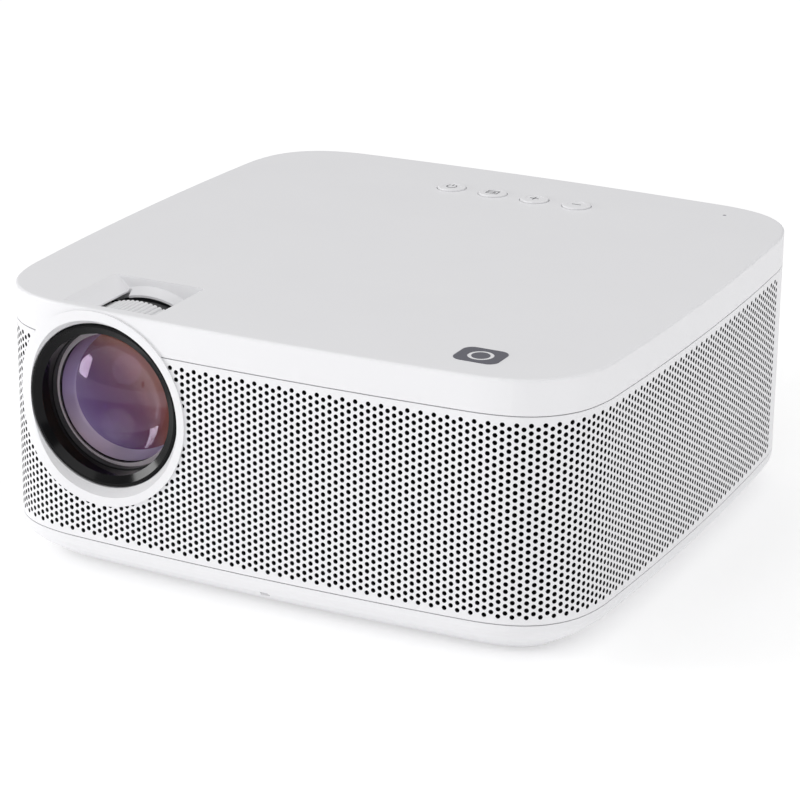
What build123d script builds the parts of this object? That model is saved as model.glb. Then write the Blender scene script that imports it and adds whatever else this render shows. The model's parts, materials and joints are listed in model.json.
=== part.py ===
from build123d import *
import math
import os

# Home projector: a squarish white box with crowned sides and soft corners.
# Row frame: +Z up, front (lens side) faces -Y, origin on the table under the
# middle of the object. All sizes in millimetres.

os.makedirs("parts", exist_ok=True)

# ----------------------------------------------------------------- sizes
W, D, H = 226.0, 224.5, 99.5          # width, depth, height with feet
YC = 0.25                             # body centre; the bezel stands 0.8 proud in front
Y0 = YC - D / 2                       # foremost point of the body
FOOT_H = 2.0                          # feet below the base
Z_LOW = 15.1                          # seam between base tray and grille
Z_UP = 87.4                           # seam between grille and top cover
SEAM = 0.35                           # visible gap at each seam
COVER_T, TOP_T = 2.2, 2.4             # top cover wall and roof
GRILLE_T = 1.8
SKIRT_IN, SKIRT_Z = 13.0, 12.0        # the base tapers in by SKIRT_IN below SKIRT_Z

# plan outline: five arcs per quarter, turning 90 degrees in all
T_F, T_M, T_S = 3.2, 13.9, 3.3
R_M, R_C = 56.6, 28.9
T_C = 90 - T_F - T_S - 2 * T_M

# lens axis, along Y
LX, LZ = -63.0, 64.2
BEZEL_R, BEZEL_PROUD = 34.8, 0.8
SLEEVE_RO, SLEEVE_R2, SLEEVE_RI, SLEEVE_STEP = 32.4, 30.85, 29.4, 8.0
BARREL_R, LIP_R = 26.2, 29.1
HOLDER_RI, HOLDER_RO = 26.26, 27.6
RING_RI, RING_RO, RING_ROOT = 27.7, 30.4, 29.85
RING_Y0, RING_Y1, SLEEVE_Y1 = 14.3, 29.6, 46.0
TEETH = 104
PIN_R, PIN_Y, PINS = 1.2, 38.0, 3
FOCUS_DEG, FOCUS_MM = 40.0, 3.5       # half turn range and half travel
PIN_PHASE = 30.0

# buttons
BTN_R, BTN_HOLE_R, BTN_TRAVEL = 5.5, 5.75, 0.6
BTN_Y = Y0 + 193.7
BTN_X = [2.2 + 17.4 * k for k in (-1.5, -0.5, 0.5, 1.5)]

# screw posts, ceiling inserts, feet
POSTS = [(-22.0, -89.0), (84.0, -86.0), (-84.0, 86.0), (84.0, 86.0)]
INSERT_DX, INSERT_DY, INSERT_R = 120.0, 120.0, 1.65
REAR_FEET = [(-70.0, 86.0), (70.0, 86.0)]
FOOT_X, FOOT_Y = 0.0, Y0 + 31.0

# focus recess in the roof
REC_X0, REC_X1 = -78.7, -42.5
REC_Y0, REC_Y1 = Y0 + 5.6, Y0 + 38.9
SLOT_X0 = -72.2

# engine box, plan polygon (x, depth from the front)
ENG = [(-103, 66), (60, 66), (60, 171), (-16, 171), (-103, 84)]
ENG_Z0, ENG_Z1 = 10.0, 90.0
ENG_T = 2.5
OPT_Y, OPT_Z = Y0 + 119.0, 51.0

# rear panel
RP_X = 80.0


# ----------------------------------------------------------------- outline
def big_radii():
    """Radii of the front and side arcs that close a quarter of the outline."""
    a = [0, T_F, T_F + T_M, T_F + T_M + T_C, T_F + 2 * T_M + T_C, 90]
    a = [math.radians(v) for v in a]
    fixed = [None, R_M, R_C, R_M, None]
    x = W / 2
    y = D / 2
    for k, r in enumerate(fixed):
        if r is not None:
            x -= r * (math.sin(a[k + 1]) - math.sin(a[k]))
            y -= r * (math.cos(a[k]) - math.cos(a[k + 1]))
    cf = (math.sin(a[1]), 1 - math.cos(a[1]))
    cs = (1 - math.sin(a[4]), math.cos(a[4]))
    det = cf[0] * cs[1] - cs[0] * cf[1]
    return (x * cs[1] - cs[0] * y) / det, (cf[0] * y - x * cf[1]) / det


R_F, R_S = big_radii()


def quarter(inset):
    """Arcs of the front-right quarter as (start, middle, end) points about the body centre."""
    angles = [T_F, T_M, T_C, T_M, T_S]
    radii = [R_F, R_M, R_C, R_M, R_S]
    x, y, t = 0.0, -D / 2 + inset, 0.0
    arcs = []
    for ang, r in zip(angles, radii):
        r -= inset
        cx, cy = x - r * math.sin(t), y + r * math.cos(t)
        pts = []
        for f in (0, 0.5, 1):
            u = t + math.radians(ang) * f
            pts.append((cx + r * math.sin(u), cy - r * math.cos(u)))
        arcs.append(pts)
        t += math.radians(ang)
        x, y = pts[2]
    arcs[-1][2] = (W / 2 - inset, 0.0)
    return arcs


def body_outline(inset):
    """Adds the closed plan outline, moved in by inset, to the active line."""
    q = quarter(inset)
    loops = []
    for sx, sy in ((1, 1), (1, -1), (-1, -1), (-1, 1)):
        arcs = q if sx * sy > 0 else [a[::-1] for a in q[::-1]]
        loops += [[(sx * px, sy * py) for px, py in arc] for arc in arcs]
    for a, m, b in loops:
        ThreePointArc((a[0], a[1] + YC), (m[0], m[1] + YC), (b[0], b[1] + YC))


def at(depth):
    """Row Y of a depth behind the foremost point."""
    return Y0 + depth


def dome(apex, edge_x, edge_r):
    """Middle point of a spherical face from its edge to its apex, centre on the axis."""
    s = edge_x - apex
    r = (edge_r ** 2 + s ** 2) / (2 * abs(s))
    half = math.asin(edge_r / r) / 2
    sign = 1 if s > 0 else -1
    return (apex + sign * r * (1 - math.cos(half)), r * math.sin(half))


LENS_SECTION = Plane(origin=(LX, Y0, LZ), x_dir=(0, 1, 0), z_dir=(1, 0, 0))
LENS_AXIS = Axis((LX, Y0, LZ), (0, 1, 0))


def lens_face(depth):
    """Plane across the lens axis: local x is +X, local y is +Z, extruding by a negative amount runs backwards."""
    return Plane(origin=(LX, Y0 + depth, LZ), x_dir=(1, 0, 0), z_dir=(0, -1, 0))


def front_face(x, depth, z):
    return Plane(origin=(x, Y0 + depth, z), x_dir=(1, 0, 0), z_dir=(0, -1, 0))


def side_face(x, depth, z):
    """Plane across X: local x is +Y, local y is +Z, extruding runs towards +X."""
    return Plane(origin=(x, Y0 + depth, z), x_dir=(0, 1, 0), z_dir=(1, 0, 0))


def save(part, name):
    part.label = name
    export_step(part, f"parts/{name}.step")


# ----------------------------------------------------------------- top cover
with BuildPart() as top_cover:
    with BuildSketch(Plane.XY.offset(Z_UP)):
        with BuildLine():
            body_outline(0)
        make_face()
    extrude(amount=H - Z_UP)
    fillet(top_cover.faces().sort_by(Axis.Z)[-1].edges(), 1.0)
    with BuildSketch(Plane.XY.offset(Z_UP)):
        with BuildLine():
            body_outline(COVER_T)
        make_face()
    extrude(amount=H - TOP_T - Z_UP, mode=Mode.SUBTRACT)
    # tub under the roof that carries the walls of the focus recess
    with BuildSketch(Plane.XY.offset(90.5)):
        with Locations(((REC_X0 + REC_X1) / 2, (REC_Y0 + REC_Y1) / 2 + 1.0)):
            Rectangle(REC_X1 - REC_X0 + 3.0, REC_Y1 - REC_Y0 + 3.0)
    extrude(amount=H - TOP_T - 90.5 + 0.5)
    # recess: slanted left wall, steep back, right and front walls
    with BuildSketch(Plane.XY.offset(H + 0.02)):
        with Locations(((REC_X0 + REC_X1) / 2, (REC_Y0 + REC_Y1) / 2)):
            RectangleRounded(REC_X1 - REC_X0, REC_Y1 - REC_Y0, 1.2)
    with BuildSketch(Plane.XY.offset(94.7)):
        with Locations(((SLOT_X0 + REC_X1 - 0.8) / 2, (REC_Y0 + REC_Y1) / 2)):
            RectangleRounded(REC_X1 - 0.8 - SLOT_X0, REC_Y1 - REC_Y0 - 1.2, 0.8)
    loft(ruled=True, mode=Mode.SUBTRACT)
    with BuildSketch(Plane.XY.offset(89.0)):
        with Locations(((SLOT_X0 + REC_X1 - 0.8) / 2, (REC_Y0 + REC_Y1) / 2)):
            RectangleRounded(REC_X1 - 0.8 - SLOT_X0, REC_Y1 - REC_Y0 - 1.2, 0.8)
    extrude(amount=94.75 - 89.0, mode=Mode.SUBTRACT)
    # room for the bezel sleeve and the focus ring under the recess
    with BuildSketch(lens_face(-2)):
        Circle(SLEEVE_RO + 0.1)
    extrude(amount=-(2 + SLEEVE_STEP + 0.3), mode=Mode.SUBTRACT)
    with BuildSketch(lens_face(0)):
        Circle(RING_RO + 0.6)
    extrude(amount=-35.2, mode=Mode.SUBTRACT)
    # conical arch behind the focus ring, joined to the back wall of the recess
    with BuildSketch(LENS_SECTION):
        with BuildLine():
            Polyline((35.3, 29.7), (35.3, 30.5), (38.6, 32.9), (39.6, 32.9), (39.6, 31.4), (36.6, 29.7), close=True)
        make_face()
    revolve(axis=LENS_AXIS, revolution_arc=360, mode=Mode.ADD)
    with BuildSketch(Plane.XY.offset(20.0)):
        with Locations((LX, at(37.5))):
            Rectangle(90, 12)
    extrude(amount=90.0 - 20.0, mode=Mode.SUBTRACT)
    with BuildSketch(lens_face(35.0)):
        Circle(29.6)
    extrude(amount=-14, mode=Mode.SUBTRACT)
    with BuildSketch(Plane.XY.offset(88.0)):
        with Locations((SLOT_X0 + 0.55, at(21.7))):
            Rectangle(1.3, 32.6)
    extrude(amount=95.4 - 88.0, mode=Mode.SUBTRACT)
    with BuildSketch(front_face(0, REC_Y0 - Y0 + 1.5, 0)):
        Polygon((-82.0, 90.0), (SLOT_X0 + 0.2, 90.0), (SLOT_X0 + 0.2, 94.0), (-76.4, 96.6), (-82.0, 96.6), align=None)
    extrude(amount=-(REC_Y1 - REC_Y0 - 3.0), mode=Mode.SUBTRACT)
    # button holes and the light hole
    with BuildSketch(Plane.XY.offset(H - 6)):
        with Locations(*[(x, BTN_Y) for x in BTN_X]):
            Circle(BTN_HOLE_R)
        with Locations((81.8, at(209))):
            Circle(0.7)
    extrude(amount=8, mode=Mode.SUBTRACT)
    # screw posts down to the base, and two short bosses for the key board
    with BuildSketch(Plane.XY.offset(20.0)):
        with Locations(*POSTS):
            Circle(4.0)
    extrude(amount=H - TOP_T + 0.3 - 20.0)
    with BuildSketch(Plane.XY.offset(20.0)):
        with Locations(*POSTS):
            Circle(1.3)
    extrude(amount=16, mode=Mode.SUBTRACT)
    with BuildSketch(Plane.XY.offset(86.3)):
        with Locations((-33.0, BTN_Y), (37.4, BTN_Y)):
            Circle(2.8)
            Circle(1.0, mode=Mode.SUBTRACT)
    extrude(amount=H - TOP_T + 0.3 - 86.3)
save(top_cover.part, "top_cover")

# ----------------------------------------------------------------- grille
with BuildPart() as grille:
    with BuildSketch(Plane.XY.offset(Z_LOW + SEAM)):
        with BuildLine():
            body_outline(0)
        make_face()
        with BuildLine():
            body_outline(GRILLE_T)
        make_face(mode=Mode.SUBTRACT)
    extrude(amount=Z_UP - Z_LOW - 2 * SEAM)
    with BuildSketch(lens_face(-2)):
        Circle(SLEEVE_RO + 0.1)
    extrude(amount=-22, mode=Mode.SUBTRACT)
    with BuildSketch(Plane.XY.offset(Z_LOW - 5)):
        with Locations((0, YC + D / 2)):
            Rectangle(2 * RP_X, 30)
    extrude(amount=90, mode=Mode.SUBTRACT)
save(grille.part, "grille")

# ----------------------------------------------------------------- rear panel
with BuildPart() as rear_panel:
    with BuildSketch(Plane.XY.offset(Z_LOW + SEAM)):
        with BuildLine():
            body_outline(0.25)
        make_face()
        with BuildLine():
            body_outline(2.4)
        make_face(mode=Mode.SUBTRACT)
        with Locations((0, YC + D / 2)):
            Rectangle(2 * RP_X - 0.4, 30, mode=Mode.INTERSECT)
    extrude(amount=Z_UP - Z_LOW - 2 * SEAM)
    # vents: rows of slots above the sockets
    with BuildSketch(front_face(0, 218, 70)):
        with GridLocations(8.0, 7.0, 17, 3):
            SlotOverall(6.0, 2.2, rotation=90)
    extrude(amount=-10, mode=Mode.SUBTRACT)
    # socket cut-outs
    with BuildSketch(front_face(0, 218, 42.4)):
        with Locations((-44, 0), (-20, 0)):
            Rectangle(16.4, 7.0)
        with Locations((4, 0.7), (26, 0.7)):
            Rectangle(15.4, 8.4)
        with Locations((45, 0.6), (60, 0.6)):
            Circle(3.6)
    extrude(amount=-10, mode=Mode.SUBTRACT)
    with BuildSketch(front_face(62, 218, 25.5)):
        RectangleRounded(25.4, 15.4, 3.0)
    extrude(amount=-10, mode=Mode.SUBTRACT)
save(rear_panel.part, "rear_panel")

# ----------------------------------------------------------------- base tray
SKIRT = [(FOOT_H, 13.0), (5.5, 7.4), (7.5, 4.3), (9.5, 1.8), (11.8, 0.3), (13.0, 0.0), (Z_LOW, 0.0)]
FLOOR_Z = FOOT_H + 2.4
TRAY_BOSS = 9.5                        # top of the bosses under the engine
PEDESTALS = [(97.5, at(119), 15.0, 54.0, 16.0, 6.0), (103.0, at(46), 9.0, 30.0, 28.0, 8.8), (-104.0, at(150), 9.0, 30.0, 28.0, 8.8)]
STANDOFFS_PSU = [(19.0, at(14)), (71.0, at(14)), (19.0, at(58)), (71.0, at(58))]
STANDOFFS_MAIN = [(-70.0, at(181)), (-70.0, at(212)), (38.0, at(181)), (38.0, at(212))]
ENGINE_LEGS = [(-94.0, at(72)), (50.0, at(72)), (50.0, at(164)), (-30.0, at(150))]
PSU_Z, MAIN_Z = 16.0, 37.4
with BuildPart() as base_tray:
    for z, inset in SKIRT:
        with BuildSketch(Plane.XY.offset(z)):
            with BuildLine():
                body_outline(inset)
            make_face()
    loft(ruled=True)
    for z, inset in [(FLOOR_Z, 14.2), (7.5, 8.2), (9.5, 4.9), (11.8, 2.7), (13.0, 2.3), (Z_LOW, 2.3)]:
        with BuildSketch(Plane.XY.offset(z)):
            with BuildLine():
                body_outline(inset)
            make_face()
    loft(ruled=True, mode=Mode.SUBTRACT)
    # bosses and pedestals standing on the floor
    with BuildSketch(Plane.XY.offset(FLOOR_Z - 1)):
        with Locations(*POSTS):
            Circle(5.5)
    extrude(amount=19.9 - FLOOR_Z + 1)
    with BuildSketch(Plane.XY.offset(FLOOR_Z - 1)):
        with GridLocations(INSERT_DX, INSERT_DY, 2, 2):
            Circle(5.0)
        with Locations(*ENGINE_LEGS):
            Circle(4.0)
    extrude(amount=TRAY_BOSS + 0.5 - FLOOR_Z + 1)
    with BuildSketch(Plane.XY.offset(FLOOR_Z - 1)):
        with Locations(*STANDOFFS_PSU):
            Circle(3.0)
    extrude(amount=PSU_Z - FLOOR_Z + 1)
    with BuildSketch(Plane.XY.offset(FLOOR_Z - 1)):
        with Locations(*STANDOFFS_MAIN):
            Circle(3.0)
    extrude(amount=MAIN_Z - FLOOR_Z + 1)
    with BuildSketch(Plane.XY.offset(FLOOR_Z - 1)):
        with Locations((FOOT_X, FOOT_Y)):
            Circle(13.0)
    extrude(amount=24 - FLOOR_Z + 1)
    for x, y, dx, dy, z, z0 in PEDESTALS:
        with BuildSketch(Plane.XY.offset(z)):
            with Locations((x, y)):
                Rectangle(dx, dy)
        extrude(amount=-(z - z0))
    for z, inset in SKIRT + [(60.0, 0.0)]:
        with BuildSketch(Plane.XY.offset(z)):
            with BuildLine():
                body_outline(inset)
            make_face()
    loft(ruled=True, mode=Mode.INTERSECT)
    # screw holes, insert holes, foot well
    with BuildSketch(Plane.XY):
        with Locations(*POSTS):
            Circle(1.8)
    extrude(amount=25, mode=Mode.SUBTRACT)
    with BuildSketch(Plane.XY):
        with Locations(*POSTS):
            Circle(3.6)
    extrude(amount=8, mode=Mode.SUBTRACT)
    with BuildSketch(Plane.XY):
        with GridLocations(INSERT_DX, INSERT_DY, 2, 2):
            Circle(3.0)
    extrude(amount=9, mode=Mode.SUBTRACT)
    with BuildSketch(Plane.XY):
        with Locations((FOOT_X, FOOT_Y)):
            Circle(10.5)
    extrude(amount=6.6, mode=Mode.SUBTRACT)
    with BuildSketch(Plane.XY):
        with Locations((FOOT_X, FOOT_Y)):
            Circle(6.0)
    extrude(amount=30, mode=Mode.SUBTRACT)
    # window pocket in the front of the skirt
    with BuildSketch(front_face(0.4, -1, 8.7)):
        Rectangle(3.2, 1.5)
    extrude(amount=-12, mode=Mode.SUBTRACT)
save(base_tray.part, "base_tray")

with BuildPart() as ir_window:
    with BuildSketch(front_face(0.4, 3.1, 8.7)):
        Rectangle(3.2, 1.5)
    extrude(amount=-3.2)
save(ir_window.part, "ir_window")

# ----------------------------------------------------------------- dust cloth
with BuildPart() as dust_cloth:
    with BuildSketch(Plane.XY.offset(Z_LOW + 0.4)):
        with BuildLine():
            body_outline(GRILLE_T + 0.1)
        make_face()
        with BuildLine():
            body_outline(GRILLE_T + 0.5)
        make_face(mode=Mode.SUBTRACT)
    extrude(amount=Z_UP - Z_LOW - 0.8)
    with BuildSketch(lens_face(-2)):
        Circle(SLEEVE_RO + 0.3)
    extrude(amount=-22, mode=Mode.SUBTRACT)
    with BuildSketch(Plane.XY.offset(Z_LOW - 5)):
        with Locations((0, YC + D / 2)):
            Rectangle(2 * RP_X, 30)
    extrude(amount=90, mode=Mode.SUBTRACT)
save(dust_cloth.part, "dust_cloth")

# ----------------------------------------------------------------- lens bezel
with BuildPart() as bezel_tube:
    with BuildSketch(lens_face(-2)):
        Circle(SLEEVE_RO)
    extrude(amount=-(2 + SLEEVE_STEP))
    with BuildSketch(lens_face(-2)):
        Circle(SLEEVE_R2)
    extrude(amount=-(2 + RING_Y0 - 0.3))

with BuildPart() as lens_bezel:
    with BuildSketch(lens_face(-2)):
        Circle(BEZEL_R)
    extrude(amount=-16)
    with BuildSketch(Plane.XY.offset(20)):
        with BuildLine():
            body_outline(-0.03)
        make_face()
    extrude(amount=90, mode=Mode.SUBTRACT)
    add(bezel_tube.part)
    with BuildSketch(Plane.XY.offset(20)):
        with BuildLine():
            body_outline(-BEZEL_PROUD)
        make_face()
    extrude(amount=90, mode=Mode.INTERSECT)
    with BuildSketch(lens_face(-3)):
        Circle(SLEEVE_RI)
    extrude(amount=-30, mode=Mode.SUBTRACT)
    with BuildSketch(LENS_SECTION):
        with BuildLine():
            Polyline((-3.0, 28.0), (-3.0, 33.4), (4.4, SLEEVE_RI), (4.4, 28.0), close=True)
        make_face()
    revolve(axis=LENS_AXIS, mode=Mode.SUBTRACT)
save(lens_bezel.part, "lens_bezel")

# ----------------------------------------------------------------- lens holder
HOLD_Y0, HOLD_Y1 = 10.5, 66.0
PIN_ANGLES = [PIN_PHASE + 360.0 / PINS * k for k in range(PINS)]


def radial_plane(angle, depth):
    """Plane whose normal points outwards from the lens axis; local y runs backwards."""
    a = math.radians(angle)
    return Plane(origin=(LX, at(depth), LZ), x_dir=(math.cos(a), 0, -math.sin(a)), z_dir=(math.sin(a), 0, math.cos(a)))


with BuildPart() as lens_holder:
    with BuildSketch(LENS_SECTION):
        with BuildLine():
            Polyline((HOLD_Y0, HOLDER_RI), (HOLD_Y0, HOLDER_RO), (SLEEVE_Y1 + 0.4, HOLDER_RO), (SLEEVE_Y1 + 0.4, 29.2),
                     (49.0, 29.2), (49.0, 28.2), (HOLD_Y1 - 3, 28.2), (HOLD_Y1 - 3, 32.0), (HOLD_Y1, 32.0),
                     (HOLD_Y1, HOLDER_RI), close=True)
        make_face()
    revolve(axis=LENS_AXIS)
    for a in PIN_ANGLES:
        with BuildSketch(radial_plane(a, PIN_Y)):
            SlotOverall(2 * FOCUS_MM + 2 * PIN_R + 1.6, 2 * PIN_R + 0.3, rotation=90)
        extrude(amount=31, mode=Mode.SUBTRACT)
save(lens_holder.part, "lens_holder")

# ----------------------------------------------------------------- lens barrel
LIP_Y0 = 4.4
with BuildPart() as lens_barrel:
    with BuildSketch(LENS_SECTION):
        with BuildLine():
            Polyline((LIP_Y0, 27.9), (LIP_Y0, LIP_R), (6.8, LIP_R), (6.8, BARREL_R), (56.0, BARREL_R), (56.0, 22.8),
                     (50.0, 22.8), (50.0, 21.6), (19.0, 21.6), (19.0, 25.3), (LIP_Y0 + 1.3, 25.3), close=True)
        make_face()
    revolve(axis=LENS_AXIS)
    lip = lens_barrel.edges().filter_by(GeomType.CIRCLE)
    fillet([e for e in lip if abs(e.center().Y - at(LIP_Y0)) < 0.01 and e.radius > 28.5], 0.7)
    for a in PIN_ANGLES:
        with BuildSketch(radial_plane(a, PIN_Y)):
            Circle(PIN_R)
        extrude(amount=31, mode=Mode.SUBTRACT)
save(lens_barrel.part, "lens_barrel")

with BuildPart() as guide_pins:
    for a in PIN_ANGLES:
        with BuildSketch(radial_plane(a, PIN_Y).offset(23.0)):
            Circle(PIN_R)
        extrude(amount=5.7)
save(guide_pins.part, "guide_pins")

GLASS_R = 25.2
with BuildPart() as front_glass:
    with BuildSketch(LENS_SECTION):
        with BuildLine():
            l1 = Line((19.0, 0), (19.0, GLASS_R))
            l2 = Line((19.0, GLASS_R), (15.2, GLASS_R))
            ThreePointArc((15.2, GLASS_R), dome(5.2, 15.2, GLASS_R), (5.2, 0))
            Line((5.2, 0), (19.0, 0))
        make_face()
    revolve(axis=LENS_AXIS)
save(front_glass.part, "front_glass")

with BuildPart() as retaining_ring:
    with BuildSketch(LENS_SECTION):
        with BuildLine():
            Polyline((12.2, 24.95), (12.2, 25.25), (14.8, 25.25), (14.5, 24.95), close=True)
        make_face()
    revolve(axis=LENS_AXIS)
save(retaining_ring.part, "retaining_ring")

with BuildPart() as middle_lens:
    with BuildSketch(LENS_SECTION):
        with BuildLine():
            Line((30.0, 0), (30.0, 21.5))
            Line((30.0, 21.5), (35.0, 21.5))
            ThreePointArc((35.0, 21.5), dome(32.0, 35.0, 21.5), (32.0, 0))
            Line((32.0, 0), (30.0, 0))
        make_face()
    revolve(axis=LENS_AXIS)
save(middle_lens.part, "middle_lens")

with BuildPart() as rear_lens:
    with BuildSketch(LENS_SECTION):
        with BuildLine():
            Line((50.0, 0), (50.0, 22.7))
            Line((50.0, 22.7), (52.0, 22.7))
            ThreePointArc((52.0, 22.7), dome(58.0, 52.0, 22.7), (58.0, 0))
            Line((58.0, 0), (50.0, 0))
        make_face()
    revolve(axis=LENS_AXIS)
save(rear_lens.part, "rear_lens")

# ----------------------------------------------------------------- focus ring
GROOVE_W, GROOVE_K = 3.3, 0.187
with BuildPart() as focus_ring:
    with BuildSketch(lens_face(RING_Y0)):
        tip = []
        for k in range(TEETH):
            for f, r in ((0.0, RING_ROOT), (0.12, RING_ROOT), (0.26, RING_RO - 0.14), (0.42, RING_RO), (0.70, RING_RO), (0.86, RING_RO - 0.14)):
                a = 2 * math.pi * (k + f) / TEETH
                tip.append((r * math.cos(a), r * math.sin(a)))
        with BuildLine():
            Polyline(*tip, close=True)
        make_face()
        Circle(29.0, mode=Mode.SUBTRACT)
    extrude(amount=-(RING_Y1 - RING_Y0))
save(focus_ring.part, "focus_ring")

with BuildPart() as focus_sleeve:
    with BuildSketch(lens_face(RING_Y0)):
        Circle(29.0)
        Circle(RING_RI, mode=Mode.SUBTRACT)
    extrude(amount=-(SLEEVE_Y1 - RING_Y0))
    for a in PIN_ANGLES:
        g, w = 19.6, GROOVE_W / 2
        with BuildSketch(radial_plane(a, PIN_Y).offset(16)):
            Polygon((-g, -g * GROOVE_K - w), (g, g * GROOVE_K - w), (g, g * GROOVE_K + w), (-g, -g * GROOVE_K + w), align=None)
        extrude(amount=15, mode=Mode.SUBTRACT)
save(focus_sleeve.part, "focus_sleeve")

# ----------------------------------------------------------------- badge and light
with BuildPart() as top_badge:
    with BuildSketch(Plane.XY.offset(H)):
        with Locations((70.5, at(20.6))):
            RectangleRounded(16.0, 13.6, 3.6)
            Circle(4.4, mode=Mode.SUBTRACT)
            Circle(3.1)
    extrude(amount=0.12)
save(top_badge.part, "top_badge")

with BuildPart() as light_pipe:
    with BuildSketch(Plane.XY.offset(H - TOP_T - 1.6)):
        with Locations((81.8, at(209))):
            Circle(2.0)
    extrude(amount=1.6)
    with BuildSketch(Plane.XY.offset(H - TOP_T)):
        with Locations((81.8, at(209))):
            Circle(0.7)
    extrude(amount=TOP_T)
save(light_pipe.part, "light_pipe")

with BuildPart() as status_led:
    with BuildSketch(Plane.XY.offset(H - TOP_T - 5.6)):
        with Locations((81.8, at(209))):
            Circle(1.5)
    extrude(amount=4.0)
save(status_led.part, "status_led")

# ----------------------------------------------------------------- buttons
for x, name in zip(BTN_X, ("power_button", "source_button", "volume_up_button", "volume_down_button")):
    with BuildPart() as button:
        with BuildSketch(Plane.XY.offset(H - TOP_T - 1.6)):
            with Locations((x, BTN_Y)):
                Circle(6.2)
        extrude(amount=1.5)
        with BuildSketch(Plane.XY.offset(H - TOP_T - 0.2)):
            with Locations((x, BTN_Y)):
                Circle(BTN_R)
        extrude(amount=TOP_T + 0.9)
        fillet(button.faces().sort_by(Axis.Z)[-1].edges(), 0.5)
        with BuildSketch(Plane.XY.offset(H + 0.7)):
            with Locations((x, BTN_Y)):
                Circle(3.6)
        extrude(amount=-0.1, mode=Mode.SUBTRACT)
        with BuildSketch(Plane.XY.offset(90.7)):
            with Locations((x, BTN_Y)):
                Circle(1.5)
        extrude(amount=5.0)
    save(button.part, name)

with BuildPart() as key_board:
    with BuildSketch(Plane.XY.offset(84.7)):
        with Locations((2.2, BTN_Y)):
            Rectangle(78.0, 14.0)
    extrude(amount=1.6)
save(key_board.part, "key_board")

with BuildPart() as tact_switches:
    with BuildSketch(Plane.XY.offset(86.3)):
        with Locations(*[(x, BTN_Y) for x in BTN_X]):
            Rectangle(6.0, 6.0)
    extrude(amount=2.8)
    with BuildSketch(Plane.XY.offset(89.1)):
        with Locations(*[(x, BTN_Y) for x in BTN_X]):
            Circle(1.5)
    extrude(amount=0.8)
save(tact_switches.part, "tact_switches")

# ----------------------------------------------------------------- exhaust fan
FAN_X, FAN_Y, FAN_Z, FAN_S = 90.0, at(119), 51.0, 70.0
with BuildPart() as fan_frame:
    with BuildSketch(side_face(FAN_X, 119, FAN_Z)):
        RectangleRounded(FAN_S, FAN_S, 4.0)
        Circle(33.4, mode=Mode.SUBTRACT)
        with GridLocations(62.0, 62.0, 2, 2):
            Circle(2.1, mode=Mode.SUBTRACT)
    extrude(amount=15.0)
    with BuildSketch(side_face(FAN_X, 119, FAN_Z)):
        Circle(13.0)
        with PolarLocations(23.5, 3, start_angle=30):
            Rectangle(23.0, 4.0)
    extrude(amount=2.0)
    with BuildSketch(side_face(FAN_X + 2.0, 119, FAN_Z)):
        Circle(2.0)
    extrude(amount=7.0)
save(fan_frame.part, "exhaust_fan_frame")

with BuildPart() as fan_rotor:
    with BuildSketch(side_face(FAN_X + 2.6, 119, FAN_Z)):
        Circle(13.5)
        Circle(11.5, mode=Mode.SUBTRACT)
    extrude(amount=10.9)
    with BuildSketch(side_face(FAN_X + 11.0, 119, FAN_Z)):
        Circle(13.0)
    extrude(amount=2.5)
    with BuildSketch(side_face(FAN_X + 2.6, 119, FAN_Z)):
        Circle(4.0)
        Circle(2.08, mode=Mode.SUBTRACT)
    extrude(amount=8.8)
    for k in range(7):
        a = 2 * math.pi * k / 7
        blade = Plane(origin=(FAN_X + 8.0, FAN_Y, FAN_Z), x_dir=(math.cos(0.6), -math.sin(0.6) * math.sin(a), math.sin(0.6) * math.cos(a)),
                      z_dir=(0, math.cos(a), math.sin(a)))
        with BuildSketch(blade.offset(12.6)):
            Rectangle(12.0, 1.5)
        extrude(amount=19.6)
save(fan_rotor.part, "exhaust_fan_rotor")

# ----------------------------------------------------------------- panel blower
BL_X, BL_Y, BL_Z = -44.0, 196.0, 52.0
with BuildPart() as blower_housing:
    with BuildSketch(Plane.XY.offset(BL_Z)):
        with Locations((BL_X, at(BL_Y))):
            RectangleRounded(42.0, 40.0, 5.0)
    extrude(amount=18.0)
    with BuildSketch(Plane.XY.offset(BL_Z + 1.5)):
        with Locations((BL_X, at(BL_Y))):
            Circle(18.0)
        with Locations((BL_X - 10, at(BL_Y - 12))):
            Rectangle(16.0, 24.0)
    extrude(amount=15.0, mode=Mode.SUBTRACT)
    with BuildSketch(Plane.XY.offset(BL_Z + 16)):
        with Locations((BL_X, at(BL_Y))):
            Circle(11.0)
    extrude(amount=4.0, mode=Mode.SUBTRACT)
    with BuildSketch(Plane.XY.offset(BL_Z + 1.5)):
        with Locations((BL_X, at(BL_Y))):
            Circle(1.5)
    extrude(amount=8.0)
    with BuildSketch(Plane.XY.offset(MAIN_Z + 1.6)):
        with Locations((BL_X - 18, at(BL_Y - 14)), (BL_X + 18, at(BL_Y - 14))):
            Circle(2.0)
    extrude(amount=BL_Z - MAIN_Z - 1.6)
save(blower_housing.part, "blower_housing")

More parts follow.
